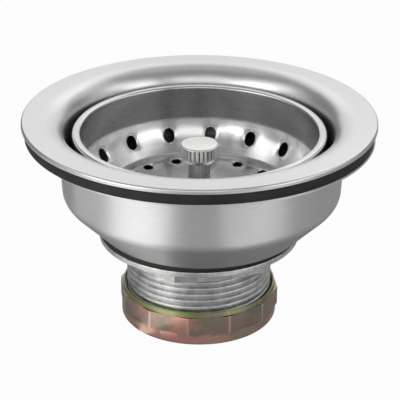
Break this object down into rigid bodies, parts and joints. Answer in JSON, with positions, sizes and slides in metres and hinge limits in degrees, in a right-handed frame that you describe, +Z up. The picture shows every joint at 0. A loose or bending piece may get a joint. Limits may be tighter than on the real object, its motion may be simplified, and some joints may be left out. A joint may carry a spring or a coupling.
{
  "type": "kitchen sink basket strainer drain",
  "caption": "Basket strainer drain for a kitchen sink: wide flange, clamping cup, gasket, threaded spud with locknut and slip nut, and a perforated lift-out basket with a stopper.",
  "frame": {"origin": "middle of the coupling nut's bottom face, on which the drain stands", "axes": "+Z up the waterway to the flange, -Y towards the side seen in the picture"},
  "size_m": [0.1142, 0.1142, 0.07],
  "materials": {
    "polished_steel": "satin-polished stainless sheet",
    "bright_steel": "bright drawn stainless sheet",
    "brushed_steel": "brushed stainless sheet",
    "turned_steel": "turned stainless bar",
    "dark_zinc": "dark zinc casting",
    "rough_zinc": "rough bright zinc casting",
    "yellow_plate": "iridescent yellow plating",
    "black_rubber": "matt black rubber",
    "pale_polymer": "plain white polymer"
  },
  "bodies": {
    "drain_body": {"flanged_bowl": "polished_steel", "spud_seal": "black_rubber", "threaded_spud": "dark_zinc"},
    "clamp_stack": {"clamping_cup": "bright_steel", "sink_gasket": "black_rubber", "locknut_washer": "black_rubber"},
    "locknut_body": {"locknut": "rough_zinc"},
    "tail_washer": {"tailpiece_washer": "pale_polymer"},
    "coupling": {"coupling_nut": "yellow_plate"},
    "basket": {"basket_cup": "brushed_steel", "knob": "turned_steel", "lift_post": "turned_steel", "grip_ring": "black_rubber", "stopper_plate": "turned_steel", "stopper": "black_rubber", "stopper_washer": "turned_steel", "stopper_nut": "turned_steel"}
  },
  "joints": [
    {"name": "basket_lift", "type": "slide", "parent": "drain_body", "child": "basket", "axis": [0, 0, 1], "range_m": [0, 0.01]},
    {"name": "clamp_slide", "type": "slide", "parent": "drain_body", "child": "clamp_stack", "axis": [0, 0, -1], "range_m": [0, 0.01105]},
    {"name": "locknut_turn", "type": "hinge", "parent": "clamp_stack", "child": "locknut_body", "pos_m": [0, 0, 0.027], "axis": [0, 0, -1], "range_deg": [0, 1800]},
    {"name": "tail_washer_slide", "type": "slide", "parent": "drain_body", "child": "tail_washer", "axis": [0, 0, -1], "range_m": [0, 0.00663]},
    {"name": "coupling_nut_turn", "type": "hinge", "parent": "tail_washer", "child": "coupling", "pos_m": [0, 0, 0.006], "axis": [0, 0, -1], "range_deg": [0, 1080]}
  ],
  "couplings": [
    {"joint": "clamp_slide", "follows": "locknut_turn", "m_per_rad": 0.00035152},
    {"joint": "tail_washer_slide", "follows": "coupling_nut_turn", "m_per_rad": 0.00035152}
  ]
}
